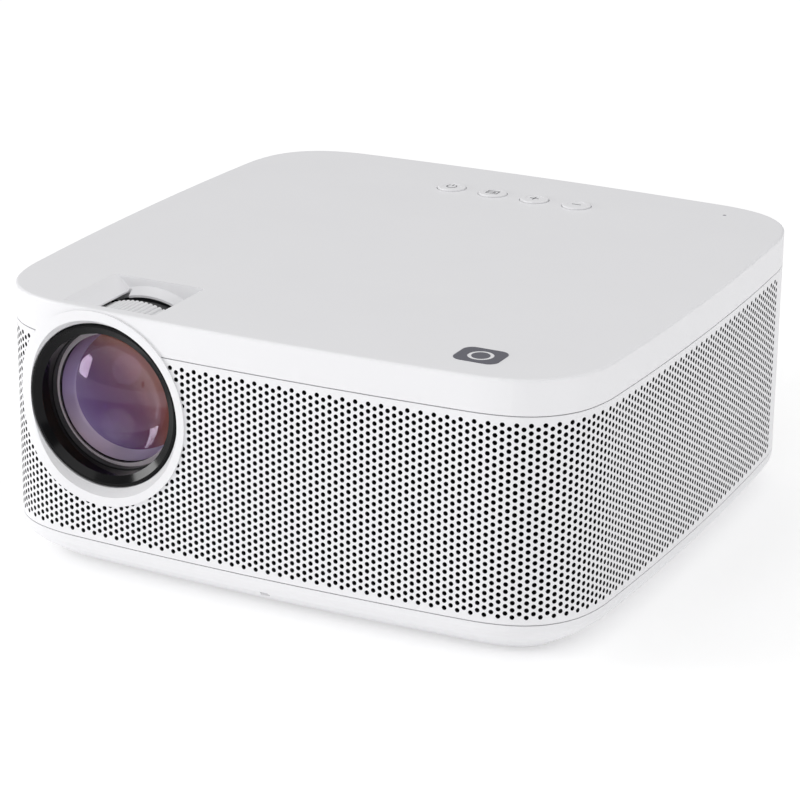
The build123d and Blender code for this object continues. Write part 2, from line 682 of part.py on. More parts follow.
with BuildPart() as blower_wheel:
    with BuildSketch(Plane.XY.offset(BL_Z + 2.1)):
        with Locations((BL_X, at(BL_Y))):
            Circle(16.0)
            Circle(1.57, mode=Mode.SUBTRACT)
    extrude(amount=1.4)
    with BuildSketch(Plane.XY.offset(BL_Z + 3.0)):
        with Locations((BL_X, at(BL_Y))):
            Circle(7.0)
            Circle(1.57, mode=Mode.SUBTRACT)
    extrude(amount=9.0)
    with BuildSketch(Plane.XY.offset(BL_Z + 3.0)):
        with Locations((BL_X, at(BL_Y))):
            with PolarLocations(13.6, 18):
                Rectangle(4.4, 0.9, rotation=35)
    extrude(amount=10.5)
    with BuildSketch(Plane.XY.offset(BL_Z + 13.0)):
        with Locations((BL_X, at(BL_Y))):
            Circle(16.0)
            Circle(11.6, mode=Mode.SUBTRACT)
    extrude(amount=0.9)
save(blower_wheel.part, "blower_wheel")

# ----------------------------------------------------------------- front foot
with BuildPart() as foot_bush:
    with BuildSketch(Plane.XY.offset(6.6)):
        with Locations((FOOT_X, FOOT_Y)):
            Circle(6.0)
            Circle(4.05, mode=Mode.SUBTRACT)
    extrude(amount=17.4)
save(foot_bush.part, "foot_bush")

with BuildPart() as foot_pad:
    with BuildSketch(Plane.XY):
        with Locations((FOOT_X, FOOT_Y)):
            Circle(9.5)
    extrude(amount=2.0)
    with BuildSketch(Plane.XY.offset(1.0)):
        with Locations((FOOT_X, FOOT_Y)):
            Circle(2.56)
    extrude(amount=2.0, mode=Mode.SUBTRACT)
    fillet(foot_pad.faces().sort_by(Axis.Z)[0].edges(), 0.5)
save(foot_pad.part, "foot_pad")

with BuildPart() as foot_screw:
    with BuildSketch(Plane.XY.offset(2.2)):
        with Locations((FOOT_X, FOOT_Y)):
            Circle(9.4)
            with PolarLocations(9.6, 18):
                Circle(0.7, mode=Mode.SUBTRACT)
    extrude(amount=4.0)
    with BuildSketch(Plane.XY.offset(1.1)):
        with Locations((FOOT_X, FOOT_Y)):
            Circle(2.5)
    extrude(amount=1.2)
    with BuildSketch(Plane.XY.offset(6.0)):
        with Locations((FOOT_X, FOOT_Y)):
            Circle(4.0)
    extrude(amount=30.0)
save(foot_screw.part, "foot_screw")

with BuildPart() as rubber_feet:
    with BuildSketch(Plane.XY):
        with Locations(*REAR_FEET):
            Circle(6.0)
    extrude(amount=FOOT_H)
save(rubber_feet.part, "rubber_feet")

with BuildPart() as mount_inserts:
    with BuildSketch(Plane.XY.offset(FOOT_H)):
        with GridLocations(INSERT_DX, INSERT_DY, 2, 2):
            Circle(3.0)
            Circle(INSERT_R, mode=Mode.SUBTRACT)
    extrude(amount=7.0)
save(mount_inserts.part, "mount_inserts")

with BuildPart() as case_screws:
    with BuildSketch(Plane.XY.offset(5.6)):
        with Locations(*POSTS):
            Circle(3.2)
    extrude(amount=2.4)
    with BuildSketch(Plane.XY.offset(8.0)):
        with Locations(*POSTS):
            Circle(1.3)
    extrude(amount=26.0)
    with BuildSketch(Plane.XY.offset(5.0)):
        with Locations(*POSTS):
            Rectangle(3.4, 0.9)
            Rectangle(0.9, 3.4)
    extrude(amount=1.8, mode=Mode.SUBTRACT)
save(case_screws.part, "case_screws")

# ----------------------------------------------------------------- optical engine
def polygon_rows(points):
    return [(x, at(d)) for x, d in points]


ENG_IN = [(-103 + ENG_T, 66 + ENG_T), (60 - ENG_T, 66 + ENG_T), (60 - ENG_T, 171 - ENG_T),
          (-16 + ENG_T * 0.414, 171 - ENG_T), (-103 + ENG_T, 84 - ENG_T * 0.414)]
with BuildPart() as engine_housing:
    with BuildSketch(Plane.XY.offset(ENG_Z0)):
        Polygon(*polygon_rows(ENG), align=None)
    extrude(amount=ENG_Z1 - ENG_T - ENG_Z0)
    with BuildSketch(Plane.XY.offset(ENG_Z0 + ENG_T)):
        Polygon(*polygon_rows(ENG_IN), align=None)
    extrude(amount=ENG_Z1, mode=Mode.SUBTRACT)
    with BuildSketch(lens_face(64)):
        Circle(24.0)
    extrude(amount=-6, mode=Mode.SUBTRACT)
    with BuildSketch(side_face(56, 119, OPT_Z)):
        Rectangle(20, 20)
    extrude(amount=6, mode=Mode.SUBTRACT)
save(engine_housing.part, "engine_housing")

with BuildPart() as engine_lid:
    with BuildSketch(Plane.XY.offset(ENG_Z1 - ENG_T)):
        Polygon(*polygon_rows(ENG), align=None)
    extrude(amount=ENG_T)
save(engine_lid.part, "engine_lid")

EZ0, EZ1 = ENG_Z0 + ENG_T, ENG_Z1 - ENG_T
with BuildPart() as fold_mirror:
    with BuildSketch(Plane(origin=(-59.5 + 2.5 * 0.7071, at(127.5 - 2.5 * 0.7071), (EZ0 + EZ1) / 2), x_dir=(0.7071, 0.7071, 0), z_dir=(0.7071, -0.7071, 0))):
        Rectangle(100.0, EZ1 - EZ0)
    extrude(amount=3.0)
save(fold_mirror.part, "fold_mirror")

for name, x, t in (("field_fresnel", -14.0, 2.0), ("heat_glass", 3.0, 1.4), ("collimator_fresnel", 12.0, 2.0)):
    with BuildPart() as plate:
        with BuildSketch(side_face(x, 119 - 0.5, (EZ0 + EZ1) / 2)):
            Rectangle(100.0, EZ1 - EZ0)
        extrude(amount=t)
    save(plate.part, name)

with BuildPart() as lcd_frame:
    with BuildSketch(side_face(-7.0, 118.5, (EZ0 + EZ1) / 2)):
        Rectangle(100.0, EZ1 - EZ0)
        with Locations((0.5, OPT_Z - (EZ0 + EZ1) / 2)):
            Rectangle(94.0, 53.0, mode=Mode.SUBTRACT)
    extrude(amount=3.0)
save(lcd_frame.part, "lcd_frame")

with BuildPart() as lcd_panel:
    with BuildSketch(side_face(-7.0, 119, OPT_Z)):
        Rectangle(94.0, 53.0)
    extrude(amount=2.2)
save(lcd_panel.part, "lcd_panel")

with BuildPart() as light_funnel:
    with BuildSketch(side_face(16.0, 119, OPT_Z)):
        Rectangle(96.0, 66.0)
    with BuildSketch(side_face(46.0, 119, OPT_Z)):
        Rectangle(40.0, 40.0)
    loft(ruled=True)
    with BuildSketch(side_face(15.9, 119, OPT_Z)):
        Rectangle(93.0, 63.0)
    with BuildSketch(side_face(46.1, 119, OPT_Z)):
        Rectangle(37.0, 37.0)
    loft(ruled=True, mode=Mode.SUBTRACT)
save(light_funnel.part, "light_funnel")

OPT_AXIS = Axis((0, at(119), OPT_Z), (1, 0, 0))
with BuildPart() as condenser_lens:
    with BuildSketch(Plane(origin=(0, at(119), OPT_Z), x_dir=(1, 0, 0), z_dir=(0, -1, 0))):
        with BuildLine():
            Line((57.5, 0), (57.5, 18.0))
            Line((57.5, 18.0), (54.5, 18.0))
            ThreePointArc((54.5, 18.0), dome(47.2, 54.5, 18.0), (47.2, 0))
            Line((47.2, 0), (57.5, 0))
        make_face()
    revolve(axis=OPT_AXIS)
save(condenser_lens.part, "condenser_lens")

with BuildPart() as led_module:
    with BuildSketch(side_face(60.0, 119, OPT_Z)):
        Rectangle(44.0, 44.0)
    extrude(amount=2.0)
    with BuildSketch(side_face(57.9, 119, OPT_Z)):
        Rectangle(16.0, 12.0)
    extrude(amount=2.2)
save(led_module.part, "led_module")

with BuildPart() as led_heat_sink:
    with BuildSketch(side_face(62.0, 119, OPT_Z)):
        Rectangle(60.0, 60.0)
    extrude(amount=5.0)
    with BuildSketch(side_face(66.9, 119, OPT_Z)):
        with GridLocations(5.2, 1, 12, 1):
            Rectangle(1.4, 60.0)
    extrude(amount=20.0)
save(led_heat_sink.part, "led_heat_sink")

# ----------------------------------------------------------------- electronics
with BuildPart() as power_board:
    with BuildSketch(Plane.XY.offset(PSU_Z)):
        with Locations((45.0, at(36))):
            Rectangle(60.0, 52.0)
    extrude(amount=1.6)
save(power_board.part, "power_supply_board")

with BuildPart() as transformer:
    with BuildSketch(Plane.XY.offset(PSU_Z + 1.6)):
        with Locations((57.0, at(42))):
            RectangleRounded(30.0, 28.0, 2.0)
    extrude(amount=24.0)
    with BuildSketch(Plane.XY.offset(PSU_Z + 25.6)):
        with Locations((57.0, at(42))):
            Rectangle(34.0, 14.0)
    extrude(amount=5.0)
save(transformer.part, "transformer")

with BuildPart() as capacitors:
    with BuildSketch(Plane.XY.offset(PSU_Z + 1.6)):
        with Locations((24.0, at(22)), (24.0, at(38)), (33.0, at(53))):
            Circle(6.0)
    extrude(amount=30.0)
save(capacitors.part, "capacitors")

with BuildPart() as main_board:
    with BuildSketch(Plane.XY.offset(MAIN_Z)):
        with Locations((0, at(196.5))):
            Rectangle(156.0, 41.0)
    extrude(amount=1.6)
save(main_board.part, "main_board")

with BuildPart() as chip_sink:
    with BuildSketch(Plane.XY.offset(MAIN_Z + 1.6)):
        with Locations((18.0, at(190))):
            Rectangle(24.0, 20.0)
    extrude(amount=2.0)
    with BuildSketch(Plane.XY.offset(MAIN_Z + 3.5)):
        with Locations((18.0, at(190))):
            with GridLocations(3.6, 1, 7, 1):
                Rectangle(1.2, 20.0)
    extrude(amount=6.0)
save(chip_sink.part, "processor_heat_sink")

SOCK_Z = MAIN_Z + 1.6
with BuildPart() as hdmi_sockets:
    for x in (-44.0, -20.0):
        with BuildSketch(front_face(x, 222.0, SOCK_Z + 3.2)):
            Rectangle(15.4, 6.4)
        extrude(amount=13.0)
        with BuildSketch(front_face(x, 223.0, SOCK_Z + 3.3)):
            Polygon((-6.9, 2.3), (6.9, 2.3), (6.9, -0.6), (5.4, -2.2), (-5.4, -2.2), (-6.9, -0.6), align=None)
        extrude(amount=11.0, mode=Mode.SUBTRACT)
        with BuildSketch(front_face(x, 221.5, SOCK_Z + 3.6)):
            Rectangle(11.0, 1.0)
        extrude(amount=10.0)
save(hdmi_sockets.part, "hdmi_sockets")

with BuildPart() as usb_sockets:
    for x in (4.0, 26.0):
        with BuildSketch(front_face(x, 222.0, SOCK_Z + 3.6)):
            Rectangle(14.4, 7.2)
        extrude(amount=13.0)
        with BuildSketch(front_face(x, 223.0, SOCK_Z + 3.6)):
            Rectangle(12.5, 5.4)
        extrude(amount=11.0, mode=Mode.SUBTRACT)
        with BuildSketch(front_face(x, 221.0, SOCK_Z + 4.9)):
            Rectangle(11.0, 1.0)
        extrude(amount=10.0)
save(usb_sockets.part, "usb_sockets")

with BuildPart() as audio_jacks:
    for x in (45.0, 60.0):
        with BuildSketch(front_face(x, 218.0, SOCK_Z + 4.0)):
            Rectangle(8.0, 8.0)
        extrude(amount=12.0)
        with BuildSketch(front_face(x, 222.0, SOCK_Z + 4.0)):
            Circle(3.4)
        extrude(amount=5.0)
        with BuildSketch(front_face(x, 223.0, SOCK_Z + 4.0)):
            Circle(1.8)
        extrude(amount=15.0, mode=Mode.SUBTRACT)
save(audio_jacks.part, "audio_jacks")

with BuildPart() as power_inlet:
    with BuildSketch(front_face(62.0, 223.3, 25.5)):
        RectangleRounded(24.8, 14.8, 2.8)
    extrude(amount=21.0)
    with BuildSketch(front_face(62.0, 224.0, 25.5)):
        SlotOverall(16.4, 8.4)
    extrude(amount=15.7, mode=Mode.SUBTRACT)
    with BuildSketch(front_face(62.0, 221.5, 25.5)):
        with Locations((-4.3, 0), (4.3, 0)):
            Circle(1.2)
    extrude(amount=14.0)
save(power_inlet.part, "power_inlet")

# ----------------------------------------------------------------- loudspeakers
with BuildPart() as speaker_frames:
    for x, d, s in ((99.0, 46.0, 1), (-100.0, 150.0, -1)):
        face = Plane(origin=(x, at(d), 48.0), x_dir=(0, 1, 0), z_dir=(s, 0, 0))
        with BuildSketch(face):
            RectangleRounded(38.0, 40.0, 4.0)
            Circle(17.6, mode=Mode.SUBTRACT)
        extrude(amount=3.0)
        with BuildSketch(face.offset(-7.0)):
            Circle(12.0)
            Circle(5.2, mode=Mode.SUBTRACT)
        extrude(amount=-10.0)
        with BuildSketch(face):
            Circle(19.0)
            Circle(17.6, mode=Mode.SUBTRACT)
        extrude(amount=-7.0)
        with BuildSketch(face.offset(-7.0)):
            Circle(19.0)
            Circle(11.0, mode=Mode.SUBTRACT)
        extrude(amount=-1.5)
save(speaker_frames.part, "speaker_frames")

with BuildPart() as speaker_cones:
    for x, d, s in ((99.0, 46.0, 1), (-100.0, 150.0, -1)):
        cone = Plane(origin=(x, at(d), 48.0), x_dir=(s, 0, 0), z_dir=(0, -1, 0))
        with BuildSketch(cone):
            with BuildLine():
                Polyline((2.2, 17.5), (2.9, 17.5), (2.9, 15.6), (-4.0, 6.0), (-2.2, 0), (-3.0, 0), (-5.0, 5.0),
                         (-5.0, 6.4), (2.0, 16.0), close=True)
            make_face()
        revolve(axis=Axis((x, at(d), 48.0), (1, 0, 0)))
save(speaker_cones.part, "speaker_cones")
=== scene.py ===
import json
import math

import bpy
from mathutils import Matrix, Vector


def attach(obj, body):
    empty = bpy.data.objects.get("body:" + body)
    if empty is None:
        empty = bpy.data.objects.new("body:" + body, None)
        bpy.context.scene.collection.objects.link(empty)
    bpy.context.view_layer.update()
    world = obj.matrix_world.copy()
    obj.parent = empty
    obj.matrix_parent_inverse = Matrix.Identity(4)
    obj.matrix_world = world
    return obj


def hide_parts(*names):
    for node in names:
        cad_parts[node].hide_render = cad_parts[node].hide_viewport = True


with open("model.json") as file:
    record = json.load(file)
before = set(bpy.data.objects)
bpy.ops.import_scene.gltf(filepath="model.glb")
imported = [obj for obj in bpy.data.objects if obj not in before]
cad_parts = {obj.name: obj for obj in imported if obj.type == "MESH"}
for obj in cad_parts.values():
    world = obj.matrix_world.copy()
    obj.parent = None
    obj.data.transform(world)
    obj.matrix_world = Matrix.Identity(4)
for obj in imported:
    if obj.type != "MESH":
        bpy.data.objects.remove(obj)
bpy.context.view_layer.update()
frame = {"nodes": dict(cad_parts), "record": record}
scene = bpy.context.scene
scene.view_settings.view_transform = "Standard"
MM = 0.001

# ------------------------------------------------------------------ body outline (mm)
W, D, YC = 226.0, 224.5, 0.25
Y0 = YC - D / 2
T_F, T_M, T_S = 3.2, 13.9, 3.3
R_M, R_C = 56.6, 28.9
T_C = 90 - T_F - T_S - 2 * T_M
P = 2.54                                   # hole pitch, vertical
COL = 0.9097 * P                           # column pitch along the outline


def level(zp):
    return (zp + 22.37) * P + 2.0


def big_radii():
    a = [math.radians(v) for v in (0, T_F, T_F + T_M, T_F + T_M + T_C, T_F + 2 * T_M + T_C, 90)]
    x, y = W / 2, D / 2
    for k, r in enumerate((None, R_M, R_C, R_M, None)):
        if r is not None:
            x -= r * (math.sin(a[k + 1]) - math.sin(a[k]))
            y -= r * (math.cos(a[k]) - math.cos(a[k + 1]))
    cf = (math.sin(a[1]), 1 - math.cos(a[1]))
    cs = (1 - math.sin(a[4]), math.cos(a[4]))
    det = cf[0] * cs[1] - cs[0] * cf[1]
    return (x * cs[1] - cs[0] * y) / det, (cf[0] * y - x * cf[1]) / det


R_F, R_S = big_radii()
ARCS = [(T_F, R_F), (T_M, R_M), (T_C, R_C), (T_M, R_M), (T_S, R_S),
        (T_S, R_S), (T_M, R_M), (T_C, R_C), (T_M, R_M), (T_F, R_F)]


def outline(u, off=0.0):
    """Point at arc length u from the front middle, towards +X when positive, moved outwards by off."""
    side = -1.0 if u < 0 else 1.0
    u = abs(u)
    x, y, t = 0.0, -D / 2, 0.0
    for deg, r in ARCS:
        a = math.radians(deg)
        cx, cy = x - r * math.sin(t), y + r * math.cos(t)
        step = min(u / r, a)
        u -= step * r
        t += step
        x, y = cx + r * math.sin(t), cy - r * math.cos(t)
        if step < a:
            break
    nx, ny = math.sin(t), -math.cos(t)
    return side * (x + nx * off), y + ny * off + YC, side * nx, ny


# ------------------------------------------------------------------ materials
def new_material(name):
    m = bpy.data.materials.new(name)
    m.use_nodes = True
    nt = m.node_tree
    return m, nt, nt.nodes["Principled BSDF"]


def coords(nt, scale=(1, 1, 1)):
    tc = nt.nodes.new("ShaderNodeTexCoord")
    mp = nt.nodes.new("ShaderNodeMapping")
    mp.inputs["Scale"].default_value = scale
    nt.links.new(tc.outputs["Object"], mp.inputs["Vector"])
    return mp.outputs["Vector"]


def noise(nt, vec, scale, detail=3.0, rough=0.5):
    n = nt.nodes.new("ShaderNodeTexNoise")
    n.inputs["Scale"].default_value = scale
    n.inputs["Detail"].default_value = detail
    n.inputs["Roughness"].default_value = rough
    nt.links.new(vec, n.inputs["Vector"])
    return n.outputs["Fac"]


def ramp(nt, fac, stops):
    r = nt.nodes.new("ShaderNodeValToRGB")
    e = r.color_ramp.elements
    while len(e) < len(stops):
        e.new(0.5)
    for k, (pos, col) in enumerate(stops):
        e[k].position = pos
        e[k].color = (*col, 1.0) if len(col) == 3 else col
    nt.links.new(fac, r.inputs["Fac"])
    return r.outputs["Color"]


def span(nt, fac, lo, hi, a=0.3, b=0.7):
    m = nt.nodes.new("ShaderNodeMapRange")
    m.inputs["From Min"].default_value = a
    m.inputs["From Max"].default_value = b
    m.inputs["To Min"].default_value = lo
    m.inputs["To Max"].default_value = hi
    nt.links.new(fac, m.inputs["Value"])
    return m.outputs["Result"]


def bump(nt, bsdf, height, strength, distance):
    b = nt.nodes.new("ShaderNodeBump")
    b.inputs["Strength"].default_value = strength
    b.inputs["Distance"].default_value = distance
    nt.links.new(height, b.inputs["Height"])
    nt.links.new(b.outputs["Normal"], bsdf.inputs["Normal"])


def surface(name, color, rough=0.45, vary=0.03, grain=2500.0, grain_strength=0.25, metal=0.0, coat=0.0, stretch=(1, 1, 1),
            rough_vary=0.05, specular=0.5):
    m, nt, b = new_material(name)
    v = coords(nt, stretch)
    soft = noise(nt, v, 35.0, 4.0)
    lo = tuple(c * (1 - vary) for c in color)
    hi = tuple(min(1.0, c * (1 + vary)) for c in color)
    nt.links.new(ramp(nt, soft, [(0.3, lo), (0.7, hi)]), b.inputs["Base Color"])
    fine = noise(nt, v, grain, 2.0)
    nt.links.new(span(nt, fine, rough - rough_vary, rough + rough_vary), b.inputs["Roughness"])
    bump(nt, b, fine, grain_strength, 0.00004)
    b.inputs["Metallic"].default_value = metal
    b.inputs["Coat Weight"].default_value = coat
    b.inputs["Coat Roughness"].default_value = 0.04
    b.inputs["Specular IOR Level"].default_value = specular
    return m


M = {
    "white_shell": surface("white_shell", (0.80, 0.798, 0.815), rough=0.42, vary=0.006, grain=3200.0, grain_strength=0.10),
    "white_ring": surface("white_ring", (0.74, 0.74, 0.75), rough=0.45, vary=0.02, grain_strength=0.15),
    "slate_badge": surface("slate_badge", (0.085, 0.085, 0.11), rough=0.35, vary=0.05),
    "smoked_window": surface("smoked_window", (0.55, 0.54, 0.56), rough=0.15, vary=0.03, coat=0.5),
    "clear_light_pipe": surface("clear_light_pipe", (0.30, 0.30, 0.33), rough=0.2, vary=0.03),
    "black_gloss": surface("black_gloss", (0.004, 0.004, 0.0045), rough=0.11, vary=0.2, grain_strength=0.01, rough_vary=0.02, specular=0.13),
    "black_plastic": surface("black_plastic", (0.022, 0.022, 0.024), rough=0.42, vary=0.15),
    "steel": surface("steel", (0.56, 0.56, 0.58), rough=0.3, vary=0.06, metal=1.0, stretch=(1, 12, 1)),
    "brass": surface("brass", (0.75, 0.56, 0.24), rough=0.28, vary=0.08, metal=1.0),
    "aluminium": surface("aluminium", (0.68, 0.68, 0.70), rough=0.36, vary=0.05, metal=1.0, stretch=(1, 1, 14)),
    "rubber": surface("rubber", (0.035, 0.035, 0.036), rough=0.75, vary=0.15, grain=1500.0, grain_strength=0.5),
    "cone_paper": surface("cone_paper", (0.03, 0.03, 0.03), rough=0.8, vary=0.3, grain=900.0, grain_strength=0.6),
}


def circuit_board():
    m, nt, b = new_material("circuit_board")
    v = coords(nt)
    br = nt.nodes.new("ShaderNodeTexBrick")
    br.inputs["Scale"].default_value = 160.0
    br.inputs["Mortar Size"].default_value = 0.03
    br.inputs["Color1"].default_value = (0.012, 0.11, 0.045, 1)
    br.inputs["Color2"].default_value = (0.016, 0.14, 0.055, 1)
    br.inputs["Mortar"].default_value = (0.05, 0.26, 0.10, 1)
    nt.links.new(v, br.inputs["Vector"])
    nt.links.new(br.outputs["Color"], b.inputs["Base Color"])
    nt.links.new(span(nt, noise(nt, v, 400.0), 0.3, 0.45), b.inputs["Roughness"])
    bump(nt, b, br.outputs["Fac"], 0.3, 0.00004)
    return m


def filter_cloth():
    m, nt, b = new_material("filter_cloth")
    v = coords(nt)
    w1 = nt.nodes.new("ShaderNodeTexWave")
    w1.inputs["Scale"].default_value = 900.0
    w1.bands_direction = "Z"
    w2 = nt.nodes.new("ShaderNodeTexWave")
    w2.inputs["Scale"].default_value = 900.0
    w2.bands_direction = "DIAGONAL"
    for w in (w1, w2):
        nt.links.new(v, w.inputs["Vector"])
    mul = nt.nodes.new("ShaderNodeMath")
    mul.operation = "MULTIPLY"
    nt.links.new(w1.outputs["Fac"], mul.inputs[0])
    nt.links.new(w2.outputs["Fac"], mul.inputs[1])
    nt.links.new(ramp(nt, mul.outputs[0], [(0.0, (0.004, 0.004, 0.005)), (1.0, (0.016, 0.016, 0.018))]), b.inputs["Base Color"])
    nt.links.new(span(nt, mul.outputs[0], 0.95, 0.8), b.inputs["Roughness"])
    bump(nt, b, mul.outputs[0], 0.4, 0.0001)
    b.inputs["Specular IOR Level"].default_value = 0.1
    return m


def glass(name, tint, reflect=(1.0, 1.0, 1.0)):
    m, nt, b = new_material(name)
    v = coords(nt)
    n = noise(nt, v, 60.0)
    lo = tuple(c * 0.97 for c in tint)
    nt.links.new(ramp(nt, n, [(0.3, lo), (0.7, tint)]), b.inputs["Base Color"])
    nt.links.new(span(nt, noise(nt, v, 20.0), 0.022, 0.028), b.inputs["Roughness"])
    b.inputs["Specular Tint"].default_value = (*reflect, 1.0)
    b.inputs["Transmission Weight"].default_value = 1.0
    b.inputs["IOR"].default_value = 1.52
    return m


def painted_reflection_coat(name, stops, direction, centre, reach, rough=0.12, metal=0.75, coat=0.5, specular=0.5):
    """An optical face whose base colour runs across the lens along a fixed direction on the part: painted reflection
    colours of the lens coatings.
    """
    m, nt, b = new_material(name)
    tc = nt.nodes.new("ShaderNodeTexCoord")
    sub = nt.nodes.new("ShaderNodeVectorMath")
    sub.operation = "SUBTRACT"
    sub.inputs[1].default_value = centre
    nt.links.new(tc.outputs["Object"], sub.inputs[0])
    dot = nt.nodes.new("ShaderNodeVectorMath")
    dot.operation = "DOT_PRODUCT"
    dot.inputs[1].default_value = direction
    nt.links.new(sub.outputs["Vector"], dot.inputs[0])
    wob = noise(nt, tc.outputs["Object"], 45.0, 2.0)
    add = nt.nodes.new("ShaderNodeMath")
    add.operation = "MULTIPLY_ADD"
    nt.links.new(wob, add.inputs[0])
    add.inputs[1].default_value = reach * 0.35
    nt.links.new(dot.outputs["Value"], add.inputs[2])
    f = span(nt, add.outputs[0], 0.0, 1.0, -reach + reach * 0.17, reach + reach * 0.17)
    # painted reflection: the ramp puts the lens's coloured reflections into the base colour
    nt.links.new(ramp(nt, f, stops), b.inputs["Base Color"])
    nt.links.new(span(nt, wob, rough * 0.8, rough * 1.2), b.inputs["Roughness"])
    b.inputs["Metallic"].default_value = metal
    b.inputs["Specular IOR Level"].default_value = specular
    b.inputs["Coat Weight"].default_value = coat
    b.inputs["Coat Roughness"].default_value = 0.02
    return m


# near-black colour for the bore walls of the grille holes: painted shade inside the holes
M["hole_wall"] = surface("hole_wall", (0.02, 0.02, 0.022), rough=0.7, vary=0.1, specular=0.2)
M["circuit_board"] = circuit_board()
M["black_cloth"] = filter_cloth()
M["clear_glass"] = glass("clear_glass", (0.95, 0.97, 0.97))
M["coated_glass"] = glass("coated_glass", (0.97, 0.94, 0.98), (0.38, 0.24, 0.44))
M["front_mirror"] = surface("front_mirror", (0.9, 0.9, 0.9), rough=0.06, vary=0.02, metal=1.0, rough_vary=0.02)

for sp in frame["record"]["subparts"]:
    node = frame["nodes"][sp["node"]]
    node.data.materials.clear()
    node.data.materials.append(M[sp["material_slot"]])


# ------------------------------------------------------------------ mesh helpers
def piece(name, verts, faces, material, body="chassis", smooth=True, sharp=35.0):
    me = bpy.data.meshes.new(name)
    me.from_pydata([(x * MM, y * MM, z * MM) for x, y, z in verts], [], faces)
    me.validate()
    me.update()
    me.materials.append(material)
    if smooth:
        me.polygons.foreach_set("use_smooth", [True] * len(me.polygons))
        me.set_sharp_from_angle(angle=math.radians(sharp))
    ob = bpy.data.objects.new(name, me)
    scene.collection.objects.link(ob)
    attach(ob, body)
    return ob


# ------------------------------------------------------------------ perforated grille
GT = 0.9                                   # thickness of the perforated wall
HR = 0.325 * P
Z_LO, Z_HI = 15.45, 87.05
LX, LZ = -63.0, 64.2
EVEN = [level(z) for z in range(10, -17, -1)]
ODD = [level(z + 0.5) for z in range(9, -17, -1)]


def back_u(x):
    """Arc length where the outline comes round to the back at this x."""
    lo, hi = 300.0, 440.0
    for _ in range(60):
        mid = (lo + hi) / 2
        if outline(mid)[0] > x:
            lo = mid
        else:
            hi = mid
    return lo


U_END = back_u(80.0)
I0, I1 = -136, 109


def col_u(i):
    return (i + 13.432) * COL


